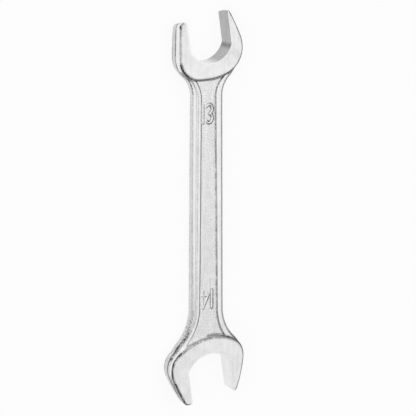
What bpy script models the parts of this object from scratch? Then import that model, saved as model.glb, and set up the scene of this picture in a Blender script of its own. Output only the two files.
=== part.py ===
"""Double open end wrench for 13 mm and 14 mm hexagons, lying flat.

The real wrench is one drop forging. It is divided here at its two necks into
head_13, shank and head_14, whose flat end faces meet on common planes.
X runs across the wrench, Y along it with the 13 mm head at +Y, and Z up from
the surface that the ground faces lie on. The origin is under the middle of the
whole wrench. All lengths are in metres.
"""
import math

import bpy
from mathutils import Matrix

# Forging as a whole
NUT_SPACING = 0.1016
HEAD_THICKNESS = 0.00574
SHANK_THICKNESS = 0.0038
JAW_TILT = math.radians(8.2)
EDGE_RADIUS = 0.0006
FLASH_LINE = 0.00012

# Shank: half widths where it runs into each neck, its rims and its sunk panel
SHANK_HALF_WIDTH_13 = 0.0047
SHANK_HALF_WIDTH_14 = 0.0052
RIM_WIDTH = 0.0021
RIM_RADIUS = 0.0011
RIM_DRAFT = 0.00015
RIM_NARROWING = 0.0008
PANEL_DEPTH = 0.00045
PANEL_SLOPE = 0.00035

# 13 mm head, measured from the nut centre along and across the jaw
OPENING_13 = 0.01315
THROAT_DEPTH_13 = 0.0054
THROAT_RADIUS_13 = 0.0072
HEAD_BACK_13 = 0.0105
TIP_LEAN_13 = 0.0010
TIP_TURN_13 = math.radians(3)
OUTER_JAW_HALF_WIDTH_13 = 0.0106
OUTER_JAW_WIDEST_13 = -0.0034
OUTER_JAW_CHEEK_RADIUS_13 = 0.0067
OUTER_JAW_SHOULDER_RADIUS_13 = 0.0120
OUTER_JAW_SWEEP_13 = math.radians(7.7)
OUTER_JAW_FLANK_RADIUS_13 = 0.3000
OUTER_JAW_REACH_13 = 0.0081
INNER_JAW_HALF_WIDTH_13 = 0.01053
INNER_JAW_WIDEST_13 = -0.0019
INNER_JAW_CHEEK_RADIUS_13 = 0.0083
INNER_JAW_SHOULDER_RADIUS_13 = 0.0100
INNER_JAW_SWEEP_13 = math.radians(15)
INNER_JAW_FLANK_RADIUS_13 = 0.0600
INNER_JAW_REACH_13 = 0.0090
NECK_RADIUS_13 = 0.0078
WEB_HALF_WIDTH_13 = 0.0102
WEB_RADIUS_13 = 0.0100
WEB_SETBACK_13 = 0.0027

# 14 mm head, measured in the same way
OPENING_14 = 0.01416
THROAT_DEPTH_14 = 0.0061
THROAT_RADIUS_14 = 0.0083
HEAD_BACK_14 = 0.0116
TIP_LEAN_14 = 0.0001
TIP_TURN_14 = math.radians(3)
OUTER_JAW_HALF_WIDTH_14 = 0.0126
OUTER_JAW_WIDEST_14 = -0.0036
OUTER_JAW_CHEEK_RADIUS_14 = 0.0054
OUTER_JAW_SHOULDER_RADIUS_14 = 0.0100
OUTER_JAW_SWEEP_14 = math.radians(15)
OUTER_JAW_FLANK_RADIUS_14 = 0.0450
OUTER_JAW_REACH_14 = 0.0088
INNER_JAW_HALF_WIDTH_14 = 0.0127
INNER_JAW_WIDEST_14 = -0.0034
INNER_JAW_CHEEK_RADIUS_14 = 0.0061
INNER_JAW_SHOULDER_RADIUS_14 = 0.0100
INNER_JAW_SWEEP_14 = math.radians(15)
INNER_JAW_FLANK_RADIUS_14 = 0.1200
INNER_JAW_REACH_14 = 0.0083
NECK_RADIUS_14 = 0.0150
WEB_HALF_WIDTH_14 = 0.0121
WEB_RADIUS_14 = 0.0090
WEB_SETBACK_14 = 0.0035

# Jaw tips, alike on both heads
TIP_RADIUS = 0.0015
TIP_FALL_SHARE = 0.4
MOUTH_CHAMFER = 0.0006

# Raised size numerals on the front panel
NUMERAL_HEIGHT = 0.0055
NUMERAL_WIDTH = 0.0021
NUMERAL_STROKE = 0.0008
NUMERAL_SINK = 0.0001
NUMERAL_PITCH = 0.0023
NUMERAL_START_13 = -0.0018
NUMERAL_START_14 = -0.0015
NUMERAL_SETBACK_13 = 0.0207
NUMERAL_SETBACK_14 = 0.0234
BOWL_START = math.radians(150)
BOWL_END = math.radians(-80)
BAR_SHARE = 0.5
STEM_SHARE = 0.7

# Cuts run past the faces they open
OVERRUN = 0.0010

# Fineness of the round stretches
ARC_STEPS = 8
SWEEP_STEPS = 5
TIP_STEPS = 4
EDGE_STEPS = 3
NUMERAL_STEPS = 10
NUMERAL_BEVEL_STEPS = 1
POINT_WEIGHT_SHARE = 1
SMOOTH_ANGLE = math.radians(35)

# Plated surface: ground heads and the rougher shank between them
HEAD_COLOUR = (0.66, 0.66, 0.67, 1)
HEAD_ROUGHNESS = 0.34
SHANK_COLOUR = (0.62, 0.62, 0.63, 1)
SHANK_ROUGHNESS = 0.42


class Jaw:
    """Outer side of one jaw: its widest place, the radii about it and its reach."""

    def __init__(self, half_width, widest, cheek, shoulder, sweep, flank, reach):
        self.half_width = half_width
        self.widest = widest
        self.cheek = cheek
        self.shoulder = shoulder
        self.sweep = sweep
        self.flank = flank
        self.reach = reach


class Head:
    """Sizes of one head and of the neck that carries it."""

    def __init__(self, opening, throat, back, jaws, fall, neck, setbacks):
        self.nut_place = NUT_SPACING / 2
        self.half_opening = opening / 2
        self.throat_depth, self.throat_radius = throat
        self.back = back
        self.outer_jaw, self.inner_jaw = jaws
        self.lean, self.turn = fall
        self.shank_half_width, self.neck_radius, self.web_half_width, self.web_radius = neck
        self.web_place = self.nut_place - setbacks[0]
        self.numeral_place = self.nut_place - setbacks[1]

    def neck_start(self):
        """Distance from the middle of the wrench to where the neck leaves the shank."""
        across = self.shank_half_width + self.neck_radius - self.web_half_width + self.web_radius
        reach = self.neck_radius + self.web_radius
        return self.web_place - math.sqrt(reach ** 2 - across ** 2)


HEAD_13 = Head(
    OPENING_13, (THROAT_DEPTH_13, THROAT_RADIUS_13), HEAD_BACK_13,
    (Jaw(OUTER_JAW_HALF_WIDTH_13, OUTER_JAW_WIDEST_13, OUTER_JAW_CHEEK_RADIUS_13,
         OUTER_JAW_SHOULDER_RADIUS_13, OUTER_JAW_SWEEP_13,
         OUTER_JAW_FLANK_RADIUS_13, OUTER_JAW_REACH_13),
     Jaw(INNER_JAW_HALF_WIDTH_13, INNER_JAW_WIDEST_13, INNER_JAW_CHEEK_RADIUS_13,
         INNER_JAW_SHOULDER_RADIUS_13, INNER_JAW_SWEEP_13,
         INNER_JAW_FLANK_RADIUS_13, INNER_JAW_REACH_13)),
    (TIP_LEAN_13, TIP_TURN_13),
    (SHANK_HALF_WIDTH_13, NECK_RADIUS_13, WEB_HALF_WIDTH_13, WEB_RADIUS_13),
    (WEB_SETBACK_13, NUMERAL_SETBACK_13))

HEAD_14 = Head(
    OPENING_14, (THROAT_DEPTH_14, THROAT_RADIUS_14), HEAD_BACK_14,
    (Jaw(OUTER_JAW_HALF_WIDTH_14, OUTER_JAW_WIDEST_14, OUTER_JAW_CHEEK_RADIUS_14,
         OUTER_JAW_SHOULDER_RADIUS_14, OUTER_JAW_SWEEP_14,
         OUTER_JAW_FLANK_RADIUS_14, OUTER_JAW_REACH_14),
     Jaw(INNER_JAW_HALF_WIDTH_14, INNER_JAW_WIDEST_14, INNER_JAW_CHEEK_RADIUS_14,
         INNER_JAW_SHOULDER_RADIUS_14, INNER_JAW_SWEEP_14,
         INNER_JAW_FLANK_RADIUS_14, INNER_JAW_REACH_14)),
    (TIP_LEAN_14, TIP_TURN_14),
    (SHANK_HALF_WIDTH_14, NECK_RADIUS_14, WEB_HALF_WIDTH_14, WEB_RADIUS_14),
    (WEB_SETBACK_14, NUMERAL_SETBACK_14))


def arc(centre, radius, start, end, steps, growth=0):
    """Points along an arc, from angle start to angle end, its radius growing evenly."""
    points = []
    for i in range(steps + 1):
        angle = start + (end - start) * i / steps
        reach = radius + growth * i / steps
        points.append((centre[0] + reach * math.cos(angle), centre[1] + reach * math.sin(angle)))
    return points


def jaw_side(head, jaw, inset, height):
    """Half of a head's outline, from the middle of its back to the middle of its mouth."""
    cheek_across = jaw.half_width - jaw.cheek
    rise = jaw.widest + head.back
    back_radius = (cheek_across ** 2 + rise ** 2 - jaw.cheek ** 2) / (2 * (rise - jaw.cheek))
    back_centre = (0, back_radius - head.back)
    meet = math.atan2(jaw.widest - back_centre[1], cheek_across)
    rear_share = 1 - height / HEAD_THICKNESS
    sweep = jaw.sweep + head.turn * rear_share
    shoulder_centre = (jaw.half_width - jaw.shoulder, jaw.widest)
    flank_centre = (shoulder_centre[0] + (jaw.shoulder - jaw.flank) * math.cos(sweep),
                    shoulder_centre[1] + (jaw.shoulder - jaw.flank) * math.sin(sweep))
    reach = jaw.reach - TIP_FALL_SHARE * inset - head.lean * rear_share
    tip_along = reach - TIP_RADIUS
    tip_rise = tip_along - flank_centre[1]
    tip_across = math.sqrt((jaw.flank - TIP_RADIUS) ** 2 - tip_rise ** 2)
    tip_centre = (flank_centre[0] + tip_across, tip_along)
    turn = math.atan2(tip_rise, tip_across)
    points = arc(back_centre, back_radius - inset, -math.pi / 2, meet, SWEEP_STEPS)
    points += arc((cheek_across, jaw.widest), jaw.cheek - inset, meet, 0, ARC_STEPS)[1:]
    points += arc(shoulder_centre, jaw.shoulder - inset, 0, sweep, SWEEP_STEPS)[1:]
    points += arc(flank_centre, jaw.flank - inset, sweep, turn, SWEEP_STEPS)[1:]
    points += arc(tip_centre, TIP_RADIUS - inset, turn, math.pi / 2, TIP_STEPS)[1:]
    points.append((0, reach - inset))
    return points


def placed(head, points):
    """Points in head sizes, across and along the jaw, as places on the wrench."""
    cos, sin = math.cos(JAW_TILT), math.sin(JAW_TILT)
    return [(across * cos - along * sin, head.nut_place + across * sin + along * cos)
            for across, along in points]


def head_outline(head, inset, height):
    """Whole outline of a head without its mouth, anticlockwise."""
    right = jaw_side(head, head.inner_jaw, inset, height)
    left = jaw_side(head, head.outer_jaw, inset, height)
    mirrored = [(-across, along) for across, along in left]
    return placed(head, right[:-1] + mirrored[::-1][:-1])


def mouth_outline(head):
    """Outline of the space between the jaws, run out past the tips."""
    centre = (0, head.throat_radius - head.throat_depth)
    corner = math.acos(head.half_opening / head.throat_radius)
    points = arc(centre, head.throat_radius, math.pi + corner, 2 * math.pi - corner, 2 * ARC_STEPS)
    flared = head.half_opening + MOUTH_CHAMFER + OVERRUN
    inner_reach, outer_reach = head.inner_jaw.reach, head.outer_jaw.reach
    points.append((head.half_opening, inner_reach - MOUTH_CHAMFER))
    points.append((flared, inner_reach + OVERRUN))
    points.append((-flared, outer_reach + OVERRUN))
    points.append((-head.half_opening, outer_reach - MOUTH_CHAMFER))
    return placed(head, points)


def web_side(head, inset, start, narrowing):
    """One side of the neck and the web under the head, from start outwards."""
    half_width = head.shank_half_width - inset
    neck_centre = (head.shank_half_width + head.neck_radius, head.neck_start())
    web_centre = (head.web_half_width - head.web_radius, head.web_place)
    meet = math.atan2(web_centre[1] - neck_centre[1], web_centre[0] - neck_centre[0])
    points = [(half_width, start)] if start < neck_centre[1] else []
    points += arc(neck_centre, head.neck_radius + inset, math.pi, meet, ARC_STEPS, -narrowing)
    web_radius = head.web_radius - inset + narrowing
    points += arc(web_centre, web_radius, meet - math.pi, 0, ARC_STEPS)[1:]
    return points


def web_outline(head, inset, start, narrowing=0):
    """Outline of the neck and web, anticlockwise; an inset narrows towards the head."""
    right = web_side(head, inset, start, narrowing)
    return right + [(-across, along) for across, along in right[::-1]]


def shank_outline(inset, overrun):
    """Outline of the straight shank, tapering from one neck to the other."""
    far, near = HEAD_13.neck_start() + overrun, -HEAD_14.neck_start() - overrun
    wide, narrow = SHANK_HALF_WIDTH_14 - inset, SHANK_HALF_WIDTH_13 - inset
    return [(wide, near), (narrow, far), (-narrow, far), (-wide, near)]


def edge_levels(thickness, radius, draft):
    """Heights and insets of a rounded edge, from the underside to the top."""
    middle = HEAD_THICKNESS / 2
    upper = []
    for i in range(EDGE_STEPS + 1):
        angle = math.pi / 2 * (1 - i / EDGE_STEPS)
        height = thickness / 2 - radius * (1 - math.cos(angle))
        upper.append((middle + height, radius * (1 - math.sin(angle))))
    lower = [(HEAD_THICKNESS - height, inset) for height, inset in upper[::-1]]
    return lower + [(middle, -draft)] + upper


def solid(name, levels):
    """Closed mesh object through outlines of equal length, each at its own height."""
    count = len(levels[0][1])
    vertices = [(x, y, height) for height, outline in levels for x, y in outline]
    faces = [tuple(range(count - 1, -1, -1))]
    for level in range(len(levels) - 1):
        first = level * count
        for i in range(count):
            j = (i + 1) % count
            faces.append((first + i, first + j, first + count + j, first + count + i))
    last = (len(levels) - 1) * count
    faces.append(tuple(range(last, last + count)))
    mesh = bpy.data.meshes.new(name)
    mesh.from_pydata(vertices, [], faces)
    item = bpy.data.objects.new(name, mesh)
    bpy.context.collection.objects.link(item)
    return item


def guide(item):
    """Marks a cutter or a joined piece as construction only."""
    item.hide_render = True
    item.display_type = 'WIRE'
    return item


def combine(target, tool, operation):
    """Adds an exact Boolean of one object with another."""
    step = target.modifiers.new(tool.name, 'BOOLEAN')
    step.operation = operation
    step.solver = 'EXACT'
    step.object = guide(tool)


def turned(outline):
    """Outline turned half a turn, to the 14 mm end of the wrench."""
    return [(-x, -y) for x, y in outline]


def upright(outline):
    """Outline left at the 13 mm end of the wrench."""
    return list(outline)


def panel_cutters(name, outline_at):
    """Cutters for the sunk panel on both faces of a stretch of the forging."""
    faces = ((1, 'front'), (-1, 'rear'))
    middle = HEAD_THICKNESS / 2
    cutters = []
    for side, label in faces:
        floor = middle + side * (SHANK_THICKNESS / 2 - PANEL_DEPTH)
        rim = middle + side * SHANK_THICKNESS / 2
        above = rim + side * OVERRUN
        levels = [(floor, outline_at(RIM_WIDTH + PANEL_SLOPE)), (rim, outline_at(RIM_WIDTH)),
                  (above, outline_at(RIM_WIDTH))]
        cutters.append(solid(f'{name}_panel_{label}_cut', levels[::side]))
    return cutters


def finish(item, colour, roughness):
    """Gives an object its plated steel surface and smooth round stretches."""
    material = bpy.data.materials.new(f'{item.name}_steel')
    material.use_nodes = True
    shader = material.node_tree.nodes['Principled BSDF']
    shader.inputs['Base Color'].default_value = colour
    shader.inputs['Roughness'].default_value = roughness
    shader.inputs['Metallic'].default_value = 1
    item.data.materials.append(material)
    item.data.shade_smooth()
    item.data.set_sharp_from_angle(angle=SMOOTH_ANGLE)


def make_head(name, head, turn):
    """One head with its neck: web, raised pad and the mouth cut through both."""
    start = head.neck_start()
    web_levels = [(height, turn(web_outline(head, inset, start)))
                  for height, inset in edge_levels(SHANK_THICKNESS, RIM_RADIUS, RIM_DRAFT)]
    item = solid(name, web_levels)

    def panel_at(inset):
        return turn(web_outline(head, inset, start - OVERRUN, RIM_NARROWING))

    for cutter in panel_cutters(name, panel_at):
        combine(item, cutter, 'DIFFERENCE')
    pad_levels = [(height, turn(head_outline(head, inset, height)))
                  for height, inset in edge_levels(HEAD_THICKNESS, EDGE_RADIUS, FLASH_LINE)]
    combine(item, solid(f'{name}_pad', pad_levels), 'UNION')
    mouth = turn(mouth_outline(head))
    mouth_levels = [(-OVERRUN, mouth), (HEAD_THICKNESS + OVERRUN, mouth)]
    combine(item, solid(f'{name}_mouth_cut', mouth_levels), 'DIFFERENCE')
    finish(item, HEAD_COLOUR, HEAD_ROUGHNESS)
    return item


def stroke(name, points):
    """One raised stroke of a numeral, sunk in the panel by a little more than half."""
    curve = bpy.data.curves.new(name, 'CURVE')
    curve.dimensions = '3D'
    curve.bevel_depth = NUMERAL_STROKE / 2
    curve.bevel_resolution = NUMERAL_BEVEL_STEPS
    curve.use_fill_caps = True
    spline = curve.splines.new('POLY')
    spline.points.add(len(points) - 1)
    height = (HEAD_THICKNESS + SHANK_THICKNESS) / 2 - PANEL_DEPTH - NUMERAL_SINK
    for point, (x, y) in zip(spline.points, points):
        point.co = (x, y, height, POINT_WEIGHT_SHARE)
    rod = bpy.data.objects.new(name, curve)
    bpy.context.collection.objects.link(rod)
    mesh = bpy.data.meshes.new_from_object(rod)
    bpy.data.objects.remove(rod)
    item = bpy.data.objects.new(name, mesh)
    bpy.context.collection.objects.link(item)
    return item


def numeral_strokes(numeral):
    """Strokes of a numeral about its centre, as lists of points."""
    half_width, half_height = NUMERAL_WIDTH / 2, NUMERAL_HEIGHT / 2
    if numeral == '1':
        return [[(0, -half_height), (0, half_height)]]
    if numeral == '3':
        bowl = arc((0, 0), 1, BOWL_START, BOWL_END, NUMERAL_STEPS)
        return [[(x * half_width, side * (1 + y) * half_height / 2) for x, y in bowl]
                for side in (1, -1)]
    bar, stem = half_height * BAR_SHARE, half_width * STEM_SHARE
    return [[(stem, half_height), (-half_width, -bar), (half_width, -bar)],
            [(stem, half_height - NUMERAL_SINK), (stem, -half_height)]]


def make_numerals(shank):
    """Size numerals raised on the front panel, each read from its own head."""
    labels = (('13', NUMERAL_START_13, HEAD_13, upright), ('14', NUMERAL_START_14, HEAD_14, turned))
    for label, start, head, turn in labels:
        for index, numeral in enumerate(label):
            shift = start + index * NUMERAL_PITCH
            for number, points in enumerate(numeral_strokes(numeral)):
                lines = turn([(x + shift, y + head.numeral_place) for x, y in points])
                combine(shank, stroke(f'numeral_{label}_{index}_{number}', lines), 'UNION')


def make_shank():
    """Straight shank with rounded rims, a sunk panel on both faces and its numerals."""
    levels = [(height, shank_outline(inset, 0))
              for height, inset in edge_levels(SHANK_THICKNESS, RIM_RADIUS, RIM_DRAFT)]
    item = solid('shank', levels)

    def panel_at(inset):
        return shank_outline(inset, OVERRUN)

    for cutter in panel_cutters('shank', panel_at):
        combine(item, cutter, 'DIFFERENCE')
    make_numerals(item)
    finish(item, SHANK_COLOUR, SHANK_ROUGHNESS)
    return item


def clear_scene():
    """Removes whatever the scene holds."""
    for item in list(bpy.data.objects):
        bpy.data.objects.remove(item, do_unlink=True)


def centre():
    """Brings the middle of the wrench's overall box to the origin."""
    graph = bpy.context.evaluated_depsgraph_get()
    corners = [corner for item in bpy.data.objects if not item.hide_render
               for corner in item.evaluated_get(graph).bound_box]
    across, along = [corner[0] for corner in corners], [corner[1] for corner in corners]
    shift = (-(min(across) + max(across)) / 2, -(min(along) + max(along)) / 2, 0)
    for item in bpy.data.objects:
        item.data.transform(Matrix.Translation(shift))


def main():
    clear_scene()
    make_head('head_13', HEAD_13, upright)
    make_shank()
    make_head('head_14', HEAD_14, turned)
    centre()


main()
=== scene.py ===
"""Double open end wrench for 13 mm and 14 mm hexagons, lying on a pale studio floor.

The forging is worked out as one field of distances on a fine grid. Its surface
is split at the two necks into three closed pieces that share their edges, one
for each solid of the frame. All lengths are in metres.
"""
import math

import bmesh
import bpy
import numpy as np
from mathutils import Matrix, Vector


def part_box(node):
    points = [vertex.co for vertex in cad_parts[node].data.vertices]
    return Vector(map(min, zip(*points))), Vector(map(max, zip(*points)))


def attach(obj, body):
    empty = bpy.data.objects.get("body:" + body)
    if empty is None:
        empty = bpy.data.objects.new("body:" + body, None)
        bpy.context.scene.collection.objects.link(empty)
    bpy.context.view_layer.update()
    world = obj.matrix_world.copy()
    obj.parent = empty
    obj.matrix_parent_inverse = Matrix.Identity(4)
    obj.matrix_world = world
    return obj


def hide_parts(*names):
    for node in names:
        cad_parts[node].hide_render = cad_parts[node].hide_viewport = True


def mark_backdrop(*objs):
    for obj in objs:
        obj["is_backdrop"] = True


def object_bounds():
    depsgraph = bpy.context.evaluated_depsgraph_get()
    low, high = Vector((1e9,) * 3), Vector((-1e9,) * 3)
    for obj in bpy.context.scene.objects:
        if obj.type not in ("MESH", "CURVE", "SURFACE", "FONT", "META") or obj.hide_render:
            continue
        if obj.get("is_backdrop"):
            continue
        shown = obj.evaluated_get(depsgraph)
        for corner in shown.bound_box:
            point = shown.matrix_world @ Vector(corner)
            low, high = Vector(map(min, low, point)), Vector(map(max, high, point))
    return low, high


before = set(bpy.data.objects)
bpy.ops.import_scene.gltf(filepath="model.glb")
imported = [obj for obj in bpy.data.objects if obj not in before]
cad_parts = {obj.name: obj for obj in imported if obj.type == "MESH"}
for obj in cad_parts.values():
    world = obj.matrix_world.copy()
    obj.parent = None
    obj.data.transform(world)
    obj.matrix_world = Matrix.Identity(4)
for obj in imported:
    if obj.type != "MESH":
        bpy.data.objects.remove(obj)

CAD_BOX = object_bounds()

# Forging as a whole
NUT_SPACING = 0.1016
HEAD_THICKNESS = 0.00574
SHANK_THICKNESS = 0.0038
MIDDLE = HEAD_THICKNESS / 2
JAW_TILT = math.radians(8.2)
FLASH_LINE = 0.00012
EDGE_RADIUS_BACK = 0.0008
EDGE_RADIUS_JAWS = 0.00045
EDGE_CHANGE = (-0.0080, -0.0030)

# Shank: half widths where it runs into each neck, its rims and its sunk panel
SHANK_HALF_WIDTH_13 = 0.0047
SHANK_HALF_WIDTH_14 = 0.0052
RIM_RADIUS = 0.0011
RIM_DRAFT = 0.00015
PANEL_DEPTH = 0.00045
PANEL_SLOPE = 0.00035

# How far each quarter of an outline is set in along the shank, and how much less at its
# web: right and left at the 13 mm head, left and right at the 14 mm head
FULL_QUARTERS = ((-0.00015, 0), (0, 0), (0, 0), (-0.00015, 0))
WALL_QUARTERS = ((-0.00015, 0), (0.0004, 0), (0.0006, 0), (-0.00015, 0))
PANEL_QUARTERS = ((0.0021, 0.0008), (0.0021, 0.0008), (0.0021, 0.0008), (0.0018, -0.0002))

# Left side of the shank and necks: its sharper rim, the stretch in which it passes into
# the right side, and the shallow fold along it
LEFT_RIM_RADIUS = 0.0005
SIDE_BLEND = 0.0020
FOLD_PLACE = 0.00095
FOLD_REACH = 0.00022
FOLD_DEPTH = 0.00005

# Jaw tips, alike on both heads, and how far the mouth's outline runs past them
TIP_RADIUS = 0.0015
MOUTH_CHAMFER = 0.0006
OVERRUN = 0.0010

# Raised size numerals on the front panel
NUMERAL_HEIGHT = 0.0055
NUMERAL_WIDTH = 0.0021
NUMERAL_STROKE = 0.0008
NUMERAL_SINK_13 = 0.0001
NUMERAL_SINK_14 = 0.00012
NUMERAL_PITCH_13 = 0.0020
NUMERAL_PITCH_14 = 0.0023
NUMERAL_START_13 = -0.0018
NUMERAL_START_14 = -0.0013
BOWL_START = math.radians(150)
BOWL_END = math.radians(-80)
BAR_SHARE = 0.5
STEM_SHARE = 0.7

# Fillets where forms meet
STEP_FILLET = 0.00040
PANEL_FILLET = 0.00015
MOUTH_EDGE = 0.00016
NUMERAL_FILLET = 0.00012

# Grid of the distance field, and fineness of the round stretches
CELL = 0.00016
MARGIN_CELLS = 3
ARC_STEPS = 24
NUMERAL_STEPS = 12

# Unevenness of the forged skin: size of the lumps and their height
SEED = 13
WAVES = ((0.0060, 0.000050), (0.0016, 0.000030), (0.0006, 0.000014))
GROUND_SHARE = 0.12

# Maps that the finish and its painted shade follow: how far each reaches and how
# strongly it counts
GROUND_REACH = 0.00012
CURVE_STEP = 2
CREASE_RADIUS = 0.0009
SEAM_REACH = 0.00042
SEAM_FLATNESS = 1.7
SEAM_SHARE = 1.3
SHANK_SEAM_SHARE = 0.25
HEAD_START = 0.0395
EDGE_CLEARANCE = 0.00035
LIP_REACH = 0.00026
LIP_DEPTH = 0.00016
UNDER_REACH = 0.0003
RIM_REACH = 0.0002
RIM_POLISH = 0.8
FOLD_SHARE = 0.75
LEFT_EDGE_SHARE = 0.12

# 13 mm mouth, whose right flat and throat get painted shade, most of all where they meet
MOUTH_SHADE_START = -0.0010
MOUTH_SHADE_SPAN = 0.0034
MOUTH_SHADE_SHARE = 0.43
MOUTH_SHADE_CORNER = -0.0018
MOUTH_SHADE_CORNER_REACH = 0.0010
MOUTH_SHADE_CORNER_SHARE = 0.27

# Side walls: painted shade under the parting line and on the right, smoother over it.
# A slight painted shade lies everywhere but on the walls over the parting line.
# Towards the 14 mm head the left wall's shaded part rises above the parting line.
WALL_LEAN = 2
UNDER_SHARE = 0.11
SHANK_UNDER_SHARE = 0.07
WALL_POLISH = 0.8
WALL_RISE = 0.0014
WALL_CHANGE = 0.0300
RIGHT_START = 0.15
RIGHT_SHARE = 0.60
PLAIN_SHARE = 0.05

# Dark marks, partly painted shade in the concave corners between heads and necks,
# partly darker patches: strength, reach and the places that each runs through, from the
# middle of the nut centres
MARKS = (
    (1.2, 0.0008, ((-0.0097, 0.0450, 0.0053), (-0.0092, 0.0438, 0.0052),
                   (-0.0084, 0.0426, 0.0052), (-0.0074, 0.0417, 0.0051),
                   (-0.0064, 0.0410, 0.0050))),
    (1.3, 0.0014, ((-0.0084, 0.0424, 0.0042), (-0.0076, 0.0416, 0.0042),
                   (-0.0066, 0.0408, 0.0040))),
    (1.0, 0.0006, ((-0.0058, 0.0405, 0.0034), (-0.0053, 0.0403, 0.0032),
                   (-0.0049, 0.0393, 0.0032), (-0.0045, 0.0384, 0.0031),
                   (-0.0044, 0.0377, 0.0030))),
    (0.8, 0.0005, ((-0.0041, 0.0369, 0.0029), (-0.0039, 0.0362, 0.0029))),
    (0.4, 0.0010, ((-0.0051, -0.0310, 0.0034), (-0.0056, -0.0342, 0.0034),
                   (-0.0061, -0.0364, 0.0034))),
    (0.55, 0.0012, ((-0.0064, -0.0375, 0.0034), (-0.0072, -0.0396, 0.0034),
                    (-0.0082, -0.0411, 0.0034), (-0.0092, -0.0423, 0.0034),
                    (-0.0102, -0.0432, 0.0034))),
    (0.35, 0.0022, ((-0.0056, -0.0342, 0.0028), (-0.0067, -0.0386, 0.0028),
                    (-0.0092, -0.0430, 0.0028), (-0.0112, -0.0450, 0.0028))),
    (0.8, 0.0007, ((-0.0122, -0.0446, 0.0036), (-0.0118, -0.0455, 0.0036))),
    (0.8, 0.0006, ((-0.0098, -0.0430, 0.0053), (-0.0112, -0.0441, 0.0053),
                   (-0.0121, -0.0452, 0.0053))),
    (1.0, 0.0004, ((-0.0121, -0.0452, 0.0054), (-0.0126, -0.0466, 0.0054),
                   (-0.0128, -0.0480, 0.0054), (-0.0128, -0.0496, 0.0054))),
    (1.0, 0.0007, ((-0.0128, -0.0496, 0.0052), (-0.0123, -0.0513, 0.0052),
                   (-0.0112, -0.0540, 0.0052))),
    (1.2, 0.0012, ((-0.0117, -0.0527, 0.0050), (-0.0112, -0.0540, 0.0050),
                   (-0.0100, -0.0564, 0.0050), (-0.0090, -0.0583, 0.0050),
                   (-0.0079, -0.0594, 0.0050))),
    (0.6, 0.0016, ((-0.0121, -0.0510, 0.0040), (-0.0109, -0.0540, 0.0038),
                   (-0.0095, -0.0568, 0.0038))),
    (0.7, 0.0014, ((0.0069, -0.0388, 0.0036), (0.0079, -0.0406, 0.0036),
                   (0.0090, -0.0416, 0.0038), (0.0103, -0.0427, 0.0040),
                   (0.0115, -0.0439, 0.0042))),
    (0.6, 0.0007, ((-0.0111, 0.0563, 0.0046), (-0.0107, 0.0569, 0.0051),
                   (-0.0104, 0.0567, 0.0055), (-0.0099, 0.0561, 0.0057))),
    (0.5, 0.0005, ((0.0089, -0.0573, 0.0040), (0.0092, -0.0584, 0.0040))),
)

# Camera: the point it looks at, from the middle of the nut centres, and its direction
# and distance
LOOK_OFFSET = (-0.0002497, 0.0014000)
VIEW_TURN = 0.4976932
VIEW_LIFT = 0.2578237
VIEW_ROLL = 0.0033200
VIEW_DISTANCE = 0.4479869
PHOTO_SIDE = 416
PIXELS_PER_METRE = 3347.147
LOOK_PIXEL = (209.8395, 209.0655)
SENSOR = 36
VIEW_CLIP = (0.01, 10)

# Studio: the floor, and how bright the world is along its slope
FLOOR_SIDE = 4
FLOOR_COLOUR = (0.92, 0.92, 0.92, 1)
FLOOR_GLOW = 0.88
SKY_SLOPE = (-0.20, 0.34, 1)
SKY_LEVELS = ((0, 0.20), (0.34, 0.24), (0.52, 1.05), (1, 1.10))

# Finish: colours and noises
PLATE_COLOUR = (0.94, 0.94, 0.948, 1)
# Dark colour for the mottled skin and streaks, and for the painted shade
GRIME_AND_SHADE_COLOUR = (0.07, 0.07, 0.065, 1)
GRAIN_SCALE = 2600
CLOUD_SCALE = 420
STREAK_SCALE = 1800
STREAK_SHAPE = (1, 0.06, 1)
NOISE_DETAIL = 3

# Ranges of the noises that count, and the shares between which lines and marks vary
SPECK_RANGE = (0.38, 0.62)
PATCH_RANGE = (0.40, 0.60)
STREAK_RANGE = (0.35, 0.65)
BREAK_RANGE = (0.35, 0.60)
GRAIN_BREAK = (0.65, 1)
CLOUD_BREAK = (0.70, 1)
SPREAD_RANGE = (0.35, 0.65)
SPREAD = (0.65, 1.3)
SHADE_MARK_RANGE = (0.10, 0.85)

# How dark, rough and uneven the finish gets, and how deep the painted shade in lines,
# on edges and in the marks is
SKIN_MOTTLE = 0.18
FACE_MOTTLE = 0.03
STREAK_DEPTH = 0.05
LINE_DEPTH = 0.62
EDGE_SHADE_DEPTH = 0.58
SHADE_MARK_DEPTH = 0.74
ROUGHNESS = (0.24, 0.28)
EDGE_POLISH = 0.08
DARK_ROUGHNESS = 0.25
GRAIN_ROUGHNESS = 0.06
GROUND_RELIEF = 0.25
BUMP_STRENGTH = 0.5
BUMP_DEPTH = 0.00005

# Colour sockets of a Mix node, whose names its other kinds of socket share
MIX_A, MIX_B, MIX_RESULT = 6, 7, 2


class Jaw:
    """Outer side of one jaw: its widest place, the radii about it and its reach."""

    def __init__(self, half_width, widest, cheek, shoulder, sweep, flank, reach):
        self.half_width = half_width
        self.widest = widest
        self.cheek = cheek
        self.shoulder = shoulder
        self.sweep = math.radians(sweep)
        self.flank = flank
        self.reach = reach


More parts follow.
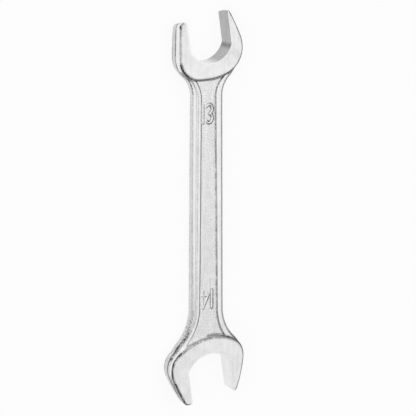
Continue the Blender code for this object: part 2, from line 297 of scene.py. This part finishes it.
class Head:
    """Sizes of one head and of the neck that carries it."""

    def __init__(self, opening, throat_depth, throat_radius, back, lean, turn, outer_jaw,
                 inner_jaw, shank_half_width, neck_radius, web_half_width, web_radius,
                 web_setback, numeral_setback):
        self.nut_place = NUT_SPACING / 2
        self.half_opening = opening / 2
        self.throat_depth = throat_depth
        self.throat_radius = throat_radius
        self.back = back
        self.lean = lean
        self.turn = math.radians(turn)
        self.outer_jaw = outer_jaw
        self.inner_jaw = inner_jaw
        self.shank_half_width = shank_half_width
        self.neck_radius = neck_radius
        self.web_half_width = web_half_width
        self.web_radius = web_radius
        self.web_place = self.nut_place - web_setback
        self.numeral_place = self.nut_place - numeral_setback

    def neck_start(self):
        """Distance from the middle of the wrench to where the neck leaves the shank."""
        across = (self.shank_half_width + self.neck_radius
                  - self.web_half_width + self.web_radius)
        reach = self.neck_radius + self.web_radius
        return self.web_place - math.sqrt(reach ** 2 - across ** 2)


HEAD_13 = Head(
    opening=0.01315, throat_depth=0.0054, throat_radius=0.0072,
    back=0.0105, lean=0.0010, turn=3,
    outer_jaw=Jaw(half_width=0.0106, widest=-0.0034, cheek=0.0067, shoulder=0.0120,
                  sweep=7.7, flank=0.3000, reach=0.0081),
    inner_jaw=Jaw(half_width=0.01053, widest=-0.0019, cheek=0.0083, shoulder=0.0100,
                  sweep=15, flank=0.0600, reach=0.0090),
    shank_half_width=SHANK_HALF_WIDTH_13, neck_radius=0.0078,
    web_half_width=0.0102, web_radius=0.0100, web_setback=0.0027,
    numeral_setback=0.0207)
HEAD_14 = Head(
    opening=0.01416, throat_depth=0.0061, throat_radius=0.0083,
    back=0.0116, lean=0.0001, turn=3,
    outer_jaw=Jaw(half_width=0.0126, widest=-0.0036, cheek=0.0054, shoulder=0.0100,
                  sweep=15, flank=0.0450, reach=0.0088),
    inner_jaw=Jaw(half_width=0.0127, widest=-0.0034, cheek=0.0061, shoulder=0.0100,
                  sweep=15, flank=0.1200, reach=0.0083),
    shank_half_width=SHANK_HALF_WIDTH_14, neck_radius=0.0150,
    web_half_width=0.0121, web_radius=0.0090, web_setback=0.0035,
    numeral_setback=0.0234)


def arc(centre, radius, start, end, steps=ARC_STEPS, growth=0):
    """Points along an arc, from angle start to angle end, its radius growing evenly."""
    share = np.linspace(0, 1, steps + 1)
    angle = start + (end - start) * share
    reach = radius + growth * share
    return list(zip(centre[0] + reach * np.cos(angle), centre[1] + reach * np.sin(angle)))


def jaw_side(head, jaw, rear_share):
    """Half of a head's outline, from the middle of its back to the middle of its mouth."""
    cheek_across = jaw.half_width - jaw.cheek
    rise = jaw.widest + head.back
    back_radius = (cheek_across ** 2 + rise ** 2 - jaw.cheek ** 2) / (2 * (rise - jaw.cheek))
    back_centre = (0, back_radius - head.back)
    meet = math.atan2(jaw.widest - back_centre[1], cheek_across)
    sweep = jaw.sweep + head.turn * rear_share
    shoulder_centre = (jaw.half_width - jaw.shoulder, jaw.widest)
    flank_centre = (shoulder_centre[0] + (jaw.shoulder - jaw.flank) * math.cos(sweep),
                    shoulder_centre[1] + (jaw.shoulder - jaw.flank) * math.sin(sweep))
    reach = jaw.reach - head.lean * rear_share
    tip_along = reach - TIP_RADIUS
    tip_rise = tip_along - flank_centre[1]
    tip_across = math.sqrt((jaw.flank - TIP_RADIUS) ** 2 - tip_rise ** 2)
    tip_centre = (flank_centre[0] + tip_across, tip_along)
    turn = math.atan2(tip_rise, tip_across)
    points = arc(back_centre, back_radius, -math.pi / 2, meet)
    points += arc((cheek_across, jaw.widest), jaw.cheek, meet, 0)[1:]
    points += arc(shoulder_centre, jaw.shoulder, 0, sweep)[1:]
    points += arc(flank_centre, jaw.flank, sweep, turn)[1:]
    points += arc(tip_centre, TIP_RADIUS, turn, math.pi / 2)[1:]
    points.append((0, reach))
    return points


def placed(head, points):
    """Points in head sizes, across and along the jaw, as places on the wrench."""
    cos, sin = math.cos(JAW_TILT), math.sin(JAW_TILT)
    return [(across * cos - along * sin, head.nut_place + across * sin + along * cos)
            for across, along in points]


def head_outline(head, rear_share):
    """Whole outline of a head without its mouth, anticlockwise."""
    right = jaw_side(head, head.inner_jaw, rear_share)
    left = jaw_side(head, head.outer_jaw, rear_share)
    mirrored = [(-across, along) for across, along in left]
    return placed(head, right[:-1] + mirrored[::-1][:-1])


def mouth_outline(head):
    """Outline of the space between the jaws, run out past the tips."""
    centre = (0, head.throat_radius - head.throat_depth)
    corner = math.acos(head.half_opening / head.throat_radius)
    points = arc(centre, head.throat_radius, math.pi + corner, 2 * math.pi - corner)
    flared = head.half_opening + MOUTH_CHAMFER + OVERRUN
    inner_reach, outer_reach = head.inner_jaw.reach, head.outer_jaw.reach
    points.append((head.half_opening, inner_reach - MOUTH_CHAMFER))
    points.append((flared, inner_reach + OVERRUN))
    points.append((-flared, outer_reach + OVERRUN))
    points.append((-head.half_opening, outer_reach - MOUTH_CHAMFER))
    return placed(head, points)


def web_side(head, inset, narrowing):
    """One side of the neck and the web, from the shank out and round under the head."""
    neck_centre = (head.shank_half_width + head.neck_radius, head.neck_start())
    web_centre = (head.web_half_width - head.web_radius, head.web_place)
    meet = math.atan2(web_centre[1] - neck_centre[1], web_centre[0] - neck_centre[0])
    points = arc(neck_centre, head.neck_radius + inset, math.pi, meet, growth=-narrowing)
    web_radius = head.web_radius - inset + narrowing
    return points + arc(web_centre, web_radius, meet - math.pi, math.pi / 2)[1:]


def turned(points):
    """Outline turned half a turn, to the 14 mm end of the wrench."""
    return [(-x, -y) for x, y in points]


def bar_outline(right_13, left_13, left_14, right_14):
    """Outline of the shank with both necks and webs, set in by quarter, anticlockwise."""
    upper_left = [(-x, y) for x, y in web_side(HEAD_13, *left_13)[::-1]]
    lower_right = [(-x, y) for x, y in web_side(HEAD_14, *right_14)[::-1]]
    return (web_side(HEAD_13, *right_13) + upper_left
            + turned(web_side(HEAD_14, *left_14)) + turned(lower_right))


def numeral_strokes(numeral):
    """Strokes of a numeral about its centre, as lists of points."""
    half_width, half_height = NUMERAL_WIDTH / 2, NUMERAL_HEIGHT / 2
    if numeral == "1":
        return [[(0, -half_height), (0, half_height)]]
    if numeral == "3":
        bowl = arc((0, 0), 1, BOWL_START, BOWL_END, NUMERAL_STEPS)
        return [[(x * half_width, side * (1 + y) * half_height / 2) for x, y in bowl]
                for side in (1, -1)]
    bar, stem = half_height * BAR_SHARE, half_width * STEM_SHARE
    return [[(stem, half_height), (-half_width, -bar), (half_width, -bar)],
            [(stem, half_height), (stem, -half_height)]]


def numeral_lines():
    """All strokes of both size numerals, each read from its own head."""
    lines = []
    labels = (("13", NUMERAL_START_13, NUMERAL_PITCH_13, HEAD_13, list),
              ("14", NUMERAL_START_14, NUMERAL_PITCH_14, HEAD_14, turned))
    for label, start, pitch, head, turn in labels:
        for index, numeral in enumerate(label):
            shift = start + index * pitch
            for points in numeral_strokes(numeral):
                lines.append(turn([(x + shift, y + head.numeral_place) for x, y in points]))
    return lines


def frame_shift():
    """Place of the middle of the nut centres in the frame, from the shank's solid."""
    low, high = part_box("shank")
    along = (HEAD_13.neck_start() - HEAD_14.neck_start()) / 2
    return (low.x + high.x) / 2, (low.y + high.y) / 2 - along


def line_distance(points, across, along, closed):
    """Distance of each grid place to a line, and for a closed one its sign inside."""
    nearest = np.full(across.shape, np.inf)
    inside = np.zeros(across.shape, bool)
    points = np.array(points) + SHIFT
    ends = np.roll(points, -1, 0) if closed else points[1:]
    for (x0, y0), (x1, y1) in zip(points, ends):
        dx, dy = x1 - x0, y1 - y0
        length = dx ** 2 + dy ** 2
        if not length:
            continue
        share = np.clip(((across - x0) * dx + (along - y0) * dy) / length, 0, 1)
        gap = (across - x0 - share * dx) ** 2 + (along - y0 - share * dy) ** 2
        nearest = np.minimum(nearest, gap)
        if closed and dy:
            crosses = (y0 > along) != (y1 > along)
            inside ^= crosses & (across < x0 + (along - y0) * dx / dy)
    distance = np.sqrt(nearest)
    return np.where(inside, -distance, distance)


def soft_min(a, b, width):
    """Smaller of two fields, with a fillet where they meet."""
    blend = np.clip(width - np.abs(a - b), 0, None) / width
    return np.minimum(a, b) - blend ** 2 * width / 4


def soft_max(a, b, width):
    """Larger of two fields, with a rounded edge where they meet."""
    return -soft_min(-a, -b, width)


def rounded_plate(outline, height, half_thickness, radius, draft):
    """Plate of an outline with rounded edges, its sides running out to mid thickness."""
    flare = draft * np.clip(1 - height / (half_thickness - radius), 0, 1)
    side = outline - flare + radius
    face = height - half_thickness + radius
    outside = np.hypot(np.maximum(side, 0), np.maximum(face, 0))
    return np.minimum(np.maximum(side, face), 0) + outside - radius


def lumps(axes, spacing, draw):
    """Smooth random field between -1 and 1, a cubic spline with its knots spacing apart."""
    weights = []
    for axis in axes:
        place = (axis - axis[0]) / spacing
        gap = np.abs(place[:, None] + 1 - np.arange(int(place[-1]) + 4))
        near = 2 / 3 - gap ** 2 + gap ** 3 / 2
        far = np.clip(2 - gap, 0, None) ** 3 / 6
        weights.append(np.where(gap < 1, near, far).astype(np.float32))
    lattice = draw.uniform(-1, 1, [w.shape[1] for w in weights]).astype(np.float32)
    return np.einsum("ia,jb,kc,abc->ijk", *weights, lattice, optimize=True)


def grid_axes():
    """Places of the grid planes along each axis, over the frame's box."""
    axes = []
    for low, high in zip(*CAD_BOX):
        count = math.ceil((high - low) / CELL) + 2 * MARGIN_CELLS
        axes.append((low + high) / 2 + CELL * (np.arange(count + 1) - count / 2))
    return axes


SHIFT = frame_shift()
AXES = grid_axes()
CORNERS = np.array([(i & 1, i >> 1 & 1, i >> 2 & 1) for i in range(8)])
CELL_EDGES = [(a, b) for a in range(8) for b in range(a, 8)
              if abs(CORNERS[a] - CORNERS[b]).sum() == 1]
IN_PLAN = (1, 1, 0)


def plan(points, closed=True):
    """Distance to a line seen from above, over the grid."""
    across, along = np.meshgrid(AXES[0], AXES[1], indexing="ij")
    return line_distance(points, across, along, closed)[:, :, None].astype(np.float32)


def side_share(across):
    """0 on one side of the wrench and 1 on the other, passing over in its middle."""
    return np.clip(0.5 + across / SIDE_BLEND, 0, 1)


def bar_field(z, height, left):
    """Shank, necks and webs with their sunk panels, and the fold on their left rim."""
    rim = RIM_RADIUS + (LEFT_RIM_RADIUS - RIM_RADIUS) * left
    wall_height = SHANK_THICKNESS / 2 - LEFT_RIM_RADIUS
    wall_share = np.clip((z - MIDDLE) / wall_height + 1, 0, 1)
    full, set_in = plan(bar_outline(*FULL_QUARTERS)), plan(bar_outline(*WALL_QUARTERS))
    bar = full + (set_in - full) * wall_share
    bar = rounded_plate(bar, height, SHANK_THICKNESS / 2, rim, RIM_DRAFT)
    panel = plan(bar_outline(*PANEL_QUARTERS))
    fold = np.clip(1 - np.abs(panel - FOLD_PLACE) / FOLD_REACH, 0, 1) * left * (z > MIDDLE)
    bar = bar + FOLD_DEPTH * fold
    rise = SHANK_THICKNESS / 2 - height
    pitch = PANEL_SLOPE / PANEL_DEPTH
    slope = (panel + pitch * rise) / np.hypot(1, pitch)
    return soft_max(bar, -np.maximum(rise - PANEL_DEPTH, slope), PANEL_FILLET), fold


def head_fields(z, height, edge):
    """Both heads without their mouths, and both mouths."""
    front_share = np.clip(z / HEAD_THICKNESS, 0, 1)
    pads, mouths = [], []
    for head, turn in ((HEAD_13, list), (HEAD_14, turned)):
        front, rear = (plan(turn(head_outline(head, share))) for share in (0, 1))
        outline = rear + (front - rear) * front_share
        pads.append(rounded_plate(outline, height, MIDDLE, edge, FLASH_LINE))
        mouths.append(plan(turn(mouth_outline(head))))
    return np.minimum(*pads), np.minimum(*mouths)


def numeral_field(z):
    """Round strokes of both size numerals, partly sunk in the front panel."""
    sink = np.where(AXES[1] < SHIFT[1], NUMERAL_SINK_14, NUMERAL_SINK_13)[None, :, None]
    axis = (HEAD_THICKNESS + SHANK_THICKNESS) / 2 - PANEL_DEPTH - sink.astype(np.float32)
    strokes = np.minimum.reduce([plan(line, False) for line in numeral_lines()])
    return np.hypot(strokes, z - axis) - NUMERAL_STROKE / 2


def forging():
    """Distance fields of the whole forging and of its mouths, and the fold on its rim."""
    z = AXES[2][None, None, :].astype(np.float32)
    height = np.abs(z - MIDDLE)
    field, fold = bar_field(z, height, side_share(SHIFT[0] - AXES[0][:, None, None]))

    reach = np.abs(AXES[1][None, :, None] - SHIFT[1]) - NUT_SPACING / 2
    back_share = np.clip((EDGE_CHANGE[1] - reach) / (EDGE_CHANGE[1] - EDGE_CHANGE[0]), 0, 1)
    edge = EDGE_RADIUS_JAWS + (EDGE_RADIUS_BACK - EDGE_RADIUS_JAWS) * back_share
    pad, mouth = head_fields(z, height, edge)
    field = soft_min(field, pad, STEP_FILLET)
    field = soft_min(field, numeral_field(z), NUMERAL_FILLET)

    draw = np.random.default_rng(SEED)
    skin = sum(lift * lumps(AXES, spacing, draw) for spacing, lift in WAVES)
    skin -= skin.max()
    level = np.clip(1 - (MIDDLE - height) / edge, 0, 1)
    ground = np.clip(1 - (pad - field) / GROUND_REACH, 0, 1) * level
    field = field - skin * (1 - (1 - GROUND_SHARE) * ground)
    fold = np.where(pad > field + GROUND_REACH, fold, 0)
    return soft_max(field, -mouth, MOUTH_EDGE), mouth, fold


def sampled(field, cells, inner):
    """Field at places given by their cell and their share of the way across it."""
    total = 0
    for corner in CORNERS:
        weight = np.where(corner, inner, 1 - inner).prod(1)
        x, y, z = np.minimum(cells + corner, np.array(field.shape) - 1).T
        total = total + weight * field[x, y, z]
    return total


def net(field):
    """Cells that the surface passes through, its place in each, and quads between them."""
    inside = field < 0
    shape = np.array(field.shape) - 1
    corners = [inside[x:x + shape[0], y:y + shape[1], z:z + shape[2]] for x, y, z in CORNERS]
    count = sum(corner.astype(np.int8) for corner in corners)
    cells = np.argwhere((count > 0) & (count < len(CORNERS)))
    values = np.stack([field[tuple((cells + corner).T)] for corner in CORNERS], 1)
    total = np.zeros(cells.shape)
    crossings = np.zeros(len(cells))
    for a, b in CELL_EDGES:
        cut = (values[:, a] < 0) != (values[:, b] < 0)
        share = np.where(cut, values[:, a] / np.where(cut, values[:, a] - values[:, b], 1), 0)
        total += cut[:, None] * (CORNERS[a] + share[:, None] * (CORNERS[b] - CORNERS[a]))
        crossings += cut
    number = np.full(shape, -1)
    number[tuple(cells.T)] = np.arange(len(cells))
    quads = []
    for axis in range(3):
        step = np.eye(3, dtype=int)[axis]
        side, up = np.roll(step, 1), np.roll(step, 2)
        starts = np.argwhere(cut_edges(inside, axis)) + side + up
        outward = inside[tuple(starts.T)]
        ring = [number[tuple((starts - back).T)] for back in (side + up, up, 0, side)]
        quad = np.stack(ring, 1)
        quads.append(np.where(outward[:, None], quad, quad[:, ::-1]))
    return cells, total / crossings[:, None], np.concatenate(quads)


def cut_edges(inside, axis):
    """Grid edges along an axis that the surface cuts, away from the grid's own faces."""
    here = [slice(1, -1)] * 3
    there = [slice(1, -1)] * 3
    here[axis], there[axis] = slice(None, -1), slice(1, None)
    return inside[tuple(here)] != inside[tuple(there)]


def mark_reach(places, radius, points):
    """How near each place is to a line over the surface, 1 on it and 0 at radius."""
    spots = np.array(points) + (*SHIFT, 0)
    spots = np.array([places[np.linalg.norm(places - spot, axis=1).argmin()]
                      for spot in spots])
    gap = np.full(len(places), np.inf)
    for start, end in zip(spots[:-1], spots[1:]):
        line = end - start
        share = np.clip((places - start) @ line / (line @ line), 0, 1)
        gap = np.minimum(gap, np.linalg.norm(places - start - share[:, None] * line, axis=1))
    return np.clip(1 - gap / radius, 0, 1)


def shaded_mouth(places, jaw):
    """Painted shade on the right side of the 13 mm mouth."""
    x, y = (places[:, :2] - SHIFT).T
    y = y - HEAD_13.nut_place
    across = x * math.cos(JAW_TILT) + y * math.sin(JAW_TILT)
    along = y * math.cos(JAW_TILT) - x * math.sin(JAW_TILT)
    side = np.clip((across - MOUTH_SHADE_START) / MOUTH_SHADE_SPAN, 0, 1) * jaw * (along > -HEAD_13.back)
    corner = np.clip(1 - np.abs(along - MOUTH_SHADE_CORNER) / MOUTH_SHADE_CORNER_REACH, 0, 1)
    return side * (MOUTH_SHADE_SHARE + MOUTH_SHADE_CORNER_SHARE * corner)


def curvature(field, cells, inner):
    """How sharply the surface bends, above 0 on its edges and below 0 in its creases."""
    around = sum(sampled(field, cells + side * CURVE_STEP * axis, inner)
                 for axis in np.eye(3, dtype=int) for side in (-1, 1))
    middle = sampled(field, cells, inner)
    return (around - 6 * middle) / (CURVE_STEP * CELL) ** 2 * CREASE_RADIUS


def wall_maps(places, normals, on_head, jaw):
    """Side walls: the parting line, what lies over it, and the painted shade on them."""
    height = np.abs(places[:, 2] - MIDDLE)
    wall = np.clip(WALL_LEAN * (1 - np.abs(normals[:, 2])), 0, 1) * (1 - jaw)
    seam = np.clip(SEAM_FLATNESS * (1 - height / SEAM_REACH), 0, 1) * wall
    seam = seam * (SHANK_SEAM_SHARE + (1 - SHANK_SEAM_SHARE) * on_head)
    rise = np.clip((SHIFT[1] - places[:, 1]) / WALL_CHANGE, 0, 1) * (normals[:, 0] < 0)
    change = (places[:, 2] - MIDDLE - WALL_RISE * rise) / UNDER_REACH
    under, above = np.clip(-change, 0, 1) * wall, np.clip(change, 0, 1) * wall
    under_share = SHANK_UNDER_SHARE + (UNDER_SHARE - SHANK_UNDER_SHARE) * on_head
    right = np.clip((normals[:, 0] - RIGHT_START) / RIGHT_START, 0, 1) * wall
    return SEAM_SHARE * seam, above, np.maximum(under_share * under, RIGHT_SHARE * right)


def finish_maps(field, fold, mouth_gap, cells, inner, places, normals):
    """What the finish and its painted shade follow at each point of the surface, each from 0
    to 1.
    """
    x, y = (places[:, :2] - SHIFT).T
    side = side_share(x)
    on_head = np.clip((np.abs(y) - HEAD_START) / SIDE_BLEND, 0, 1)
    height = np.abs(places[:, 2] - MIDDLE)
    face = np.clip(1 - (MIDDLE - height) / GROUND_REACH, 0, 1)
    rim = np.clip(1 - np.abs(height - SHANK_THICKNESS / 2) / RIM_REACH, 0, 1)
    pad = np.clip((height - SHANK_THICKNESS / 2) / RIM_REACH - 1, 0, 1)
    jaw = np.clip(2 - mouth_gap / GROUND_REACH, 0, 1)
    clear = np.clip(mouth_gap / EDGE_CLEARANCE - 1, 0, 1)
    left_rim = (1 - side) * (1 - on_head) * (normals[:, 0] < 0)
    seam, above, wall_shade = wall_maps(places, normals, on_head, jaw)

    # Painted shade darkens the creases along the right of the shank and round the whole
    # 13 mm head, and the fold on the left rim; the parting line gets a dark band
    crease_share = side + ((y > 0) - side) * on_head
    bend = curvature(field, cells, inner)
    lines = (np.clip(-bend * crease_share, 0, 1), seam,
             FOLD_SHARE * sampled(fold, cells, inner))
    marks = [strength * mark_reach(places, radius, points)
             for strength, radius, points in MARKS]
    return {"ground": np.maximum.reduce((face, jaw, RIM_POLISH * rim, WALL_POLISH * above)),
            "line": np.maximum.reduce(lines) * (1 - jaw),
            # Painted dark reflection along the rounded edges of the pads and the left rim
            "edge": np.clip(bend, 0, 1) * clear * np.maximum(pad, LEFT_EDGE_SHARE * left_rim),
            "mark": np.maximum.reduce(marks),
            # Painted shade on the 13 mm mouth and the side walls, and a slight one elsewhere
            "painted_shade": shaded_mouth(places, jaw) + wall_shade + PLAIN_SHARE * (1 - above)}


def gradient(field, cells):
    """Outward normal in each cell, from the field at its corners."""
    total = np.zeros(cells.shape)
    for corner in CORNERS:
        total += (2 * corner - 1) * field[tuple((cells + corner).T)][:, None]
    return total / np.linalg.norm(total, axis=1)[:, None]


def sharp_lips(normals, mouth_gap, places):
    """Normals with those round the mouth's edges turned to the head's face."""
    rise = places[:, 2] - MIDDLE
    lip = (mouth_gap < LIP_REACH) & (np.abs(rise) > MIDDLE - LIP_DEPTH)
    face = np.sign(rise)[:, None] * (0, 0, 1)
    return np.where(lip[:, None], face, normals)


def neck_row(name):
    """Grid row along the wrench in which a head's solid meets the shank's."""
    low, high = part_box(name)
    place = low.y if high.y > -low.y else high.y
    return int((place - AXES[1][0]) / CELL), place


def make_piece(name, chosen, quads, places, normals, maps):
    """One closed piece of the forging with its finish maps and its normals."""
    used = np.unique(quads[chosen])
    number = np.zeros(len(places), int)
    number[used] = np.arange(len(used))
    mesh = bpy.data.meshes.new(name)
    mesh.from_pydata(places[used], [], number[quads[chosen]])
    shell = bmesh.new()
    shell.from_mesh(mesh)
    rim = [edge for edge in shell.edges if edge.is_boundary]
    bmesh.ops.holes_fill(shell, edges=rim, sides=0)
    shell.to_mesh(mesh)
    shell.free()
    for label, values in maps.items():
        layer = mesh.attributes.new(label, 'FLOAT', 'POINT')
        layer.data.foreach_set("value", values[used].astype(np.float32))
    mesh.shade_smooth()
    mesh.normals_split_custom_set_from_vertices(normals[used])
    piece = bpy.data.objects.new(name, mesh)
    bpy.context.collection.objects.link(piece)
    return piece


def make_forging():
    """Pieces of the forging by the frame's node that each one stands for."""
    field, mouth, fold = forging()
    cells, inner, quads = net(field)
    origin = np.array([axis[0] for axis in AXES])
    places = origin + (cells + inner) * CELL
    normals = gradient(field, cells)
    mouth_gap = np.abs(sampled(mouth, cells * IN_PLAN, inner * IN_PLAN))
    maps = finish_maps(field, fold, mouth_gap, cells, inner, places, normals)
    normals = sharp_lips(normals, mouth_gap, places)
    rows = cells[:, 1]
    for name in ("head_13", "head_14"):
        row, place = neck_row(name)
        places[rows == row, 1] = place
    places = np.clip(places, *np.array(CAD_BOX))
    low, high = neck_row("head_14")[0], neck_row("head_13")[0]
    first, last = rows[quads].min(1), rows[quads].max(1)
    shares = {"head_13": first >= high, "head_14": last <= low}
    shares["shank"] = ~shares["head_13"] & ~shares["head_14"]
    return {name: make_piece(f"forged_{name}", chosen, quads, places, normals, maps)
            for name, chosen in shares.items()}


def node(tree, kind, **values):
    """A shader node with values on its own sockets, given by name."""
    made = tree.nodes.new(kind)
    for name, value in values.items():
        socket = made.inputs.get(name.replace("_", " "))
        if socket is None:
            setattr(made, name, value)
        elif isinstance(value, bpy.types.NodeSocket):
            tree.links.new(value, socket)
        else:
            socket.default_value = value
    return made


def calc(tree, operation, first, second=0.0):
    """Result of one Math node on two values or sockets, kept between 0 and 1."""
    made = tree.nodes.new('ShaderNodeMath')
    made.operation = operation
    made.use_clamp = True
    for socket, value in zip(made.inputs, (first, second)):
        if isinstance(value, bpy.types.NodeSocket):
            tree.links.new(value, socket)
        else:
            socket.default_value = value
    return made.outputs[0]


def mapped(tree, value, low, high, start=0.0, end=1.0):
    """Value taken smoothly from the range low to high to the range start to end."""
    made = node(tree, 'ShaderNodeMapRange', Value=value, From_Min=low, From_Max=high,
                To_Min=start, To_Max=end, interpolation_type='SMOOTHSTEP')
    return made.outputs[0]


def product(tree, first, *others):
    """Product of several values or sockets, kept between 0 and 1."""
    rest = product(tree, *others) if len(others) > 1 else others[0]
    return calc(tree, 'MULTIPLY', first, rest)


def noise(tree, place, scale):
    """Noise of a given scale per metre."""
    made = node(tree, 'ShaderNodeTexNoise', Vector=place, Scale=scale, Detail=NOISE_DETAIL)
    return made.outputs["Fac"]


def drawn(tree, label):
    """One of the finish maps."""
    return node(tree, 'ShaderNodeAttribute', attribute_name=label).outputs["Fac"]


def dark_share(tree, skin, grain, cloud, streak):
    """Share of the dark colour: mottled skin and streaks, and painted shade in lines,
    on edges, in the marks and on shaded walls and mouth.
    """
    broken = product(tree, mapped(tree, grain, *BREAK_RANGE, *GRAIN_BREAK),
                     mapped(tree, cloud, *BREAK_RANGE, *CLOUD_BREAK))
    spread = product(tree, drawn(tree, "mark"), mapped(tree, grain, *SPREAD_RANGE, *SPREAD))
    dark = 0.0
    for part in (product(tree, mapped(tree, grain, *SPECK_RANGE), skin, SKIN_MOTTLE),
                 product(tree, mapped(tree, cloud, *PATCH_RANGE), FACE_MOTTLE),
                 product(tree, mapped(tree, streak, *STREAK_RANGE), STREAK_DEPTH),
                 product(tree, drawn(tree, "line"), broken, LINE_DEPTH),
                 product(tree, drawn(tree, "edge"), broken, EDGE_SHADE_DEPTH),
                 product(tree, mapped(tree, spread, *SHADE_MARK_RANGE), SHADE_MARK_DEPTH),
                 drawn(tree, "painted_shade")):
        dark = calc(tree, 'ADD', part, dark)
    return dark


def plated_steel(name):
    """Satin plated steel: smooth where ground, mottled where forged, with painted shade
    in its creases, on its edges, in its marks and on shaded walls and mouth.
    """
    material = bpy.data.materials.new(name)
    material.use_nodes = True
    tree = material.node_tree
    shader = tree.nodes["Principled BSDF"]
    shader.inputs["Metallic"].default_value = 1
    place = node(tree, 'ShaderNodeTexCoord').outputs["Object"]
    along = node(tree, 'ShaderNodeMapping', Vector=place, Scale=STREAK_SHAPE).outputs[0]
    grain = noise(tree, place, GRAIN_SCALE)
    cloud = noise(tree, place, CLOUD_SCALE)
    streak = noise(tree, along, STREAK_SCALE)
    skin = calc(tree, 'SUBTRACT', 1.0, drawn(tree, "ground"))
    dark = dark_share(tree, skin, grain, cloud, streak)

    colour = node(tree, 'ShaderNodeMix', data_type='RGBA')
    tree.links.new(dark, colour.inputs["Factor"])
    colour.inputs[MIX_A].default_value = PLATE_COLOUR
    colour.inputs[MIX_B].default_value = GRIME_AND_SHADE_COLOUR
    tree.links.new(colour.outputs[MIX_RESULT], shader.inputs["Base Color"])

    worn = calc(tree, 'SUBTRACT', mapped(tree, skin, 0, 1, *ROUGHNESS),
                product(tree, drawn(tree, "edge"), EDGE_POLISH))
    spotted = calc(tree, 'ADD', worn, product(tree, dark, DARK_ROUGHNESS))
    rough = calc(tree, 'ADD', spotted, product(tree, grain, GRAIN_ROUGHNESS))
    tree.links.new(rough, shader.inputs["Roughness"])

    relief = product(tree, grain, mapped(tree, skin, 0, 1, GROUND_RELIEF, 1))
    bump = node(tree, 'ShaderNodeBump', Height=relief, Strength=BUMP_STRENGTH,
                Distance=BUMP_DEPTH)
    tree.links.new(bump.outputs[0], shader.inputs["Normal"])
    return material


def make_floor():
    """Plain white floor that keeps the wrench's soft shadow."""
    mesh = bpy.data.meshes.new("floor")
    side = FLOOR_SIDE / 2
    mesh.from_pydata([(-side, -side, 0), (side, -side, 0), (side, side, 0), (-side, side, 0)],
                     [], [(0, 1, 2, 3)])
    floor = bpy.data.objects.new("floor", mesh)
    bpy.context.collection.objects.link(floor)
    material = bpy.data.materials.new("floor_paper")
    material.use_nodes = True
    tree = material.node_tree
    shader = tree.nodes["Principled BSDF"]
    shader.inputs["Base Color"].default_value = FLOOR_COLOUR
    shader.inputs["Roughness"].default_value = 1
    shader.inputs["Specular IOR Level"].default_value = 0
    glow = node(tree, 'ShaderNodeEmission', Color=(1, 1, 1, 1), Strength=1)
    rays = node(tree, 'ShaderNodeLightPath').outputs
    seen = calc(tree, 'MAXIMUM', rays["Is Camera Ray"],
                calc(tree, 'MAXIMUM', rays["Is Glossy Ray"], rays["Is Transmission Ray"]))
    mix = node(tree, 'ShaderNodeMixShader', Fac=calc(tree, 'MULTIPLY', seen, FLOOR_GLOW))
    tree.links.new(shader.outputs[0], mix.inputs[1])
    tree.links.new(glow.outputs[0], mix.inputs[2])
    tree.links.new(mix.outputs[0], tree.nodes["Material Output"].inputs["Surface"])
    mesh.materials.append(material)
    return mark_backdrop(floor)


def make_lights():
    """Soft studio: a world that is bright above and dim at the horizon."""
    world = bpy.data.worlds.new("studio")
    bpy.context.scene.world = world
    world.use_nodes = True
    tree = world.node_tree
    place = node(tree, 'ShaderNodeTexCoord')
    slope = node(tree, 'ShaderNodeVectorMath', operation='DOT_PRODUCT')
    tree.links.new(place.outputs["Generated"], slope.inputs[0])
    slope.inputs[1].default_value = SKY_SLOPE
    ramp = node(tree, 'ShaderNodeValToRGB', Fac=slope.outputs["Value"])
    stops = ramp.color_ramp.elements
    for position, _ in SKY_LEVELS[1:-1]:
        stops.new(position)
    for stop, (position, level) in zip(stops, SKY_LEVELS):
        stop.position, stop.color = position, (level, level, level, 1)
    tree.links.new(ramp.outputs["Color"], tree.nodes["Background"].inputs["Color"])


def make_camera():
    """Camera at the photo's direction, distance and framing."""
    data = bpy.data.cameras.new("camera")
    camera = bpy.data.objects.new("camera", data)
    bpy.context.collection.objects.link(camera)
    turn, lift = VIEW_TURN, VIEW_LIFT
    back = Vector((-math.sin(turn) * math.cos(lift), math.sin(lift),
                   math.cos(turn) * math.cos(lift)))
    right = Vector((math.cos(turn), 0, math.sin(turn)))
    up = back.cross(right)
    level = Matrix((right, up, back)).transposed()
    look = Vector((SHIFT[0] + LOOK_OFFSET[0], SHIFT[1] + LOOK_OFFSET[1], HEAD_THICKNESS))
    camera.matrix_world = (Matrix.Translation(look + VIEW_DISTANCE * back)
                           @ level.to_4x4() @ Matrix.Rotation(VIEW_ROLL, 4, 'Z'))
    data.sensor_width = SENSOR
    data.lens = SENSOR * PIXELS_PER_METRE * VIEW_DISTANCE / PHOTO_SIDE
    data.shift_x = 0.5 - LOOK_PIXEL[0] / PHOTO_SIDE
    data.shift_y = LOOK_PIXEL[1] / PHOTO_SIDE - 0.5
    data.clip_start, data.clip_end = VIEW_CLIP
    bpy.context.scene.camera = camera


for node_name, piece in make_forging().items():
    piece.data.materials.append(plated_steel(f"{node_name}_plated_steel"))
    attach(piece, "root")
    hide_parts(node_name)
make_floor()
make_lights()
make_camera()
bpy.context.scene.view_settings.view_transform = 'Standard'
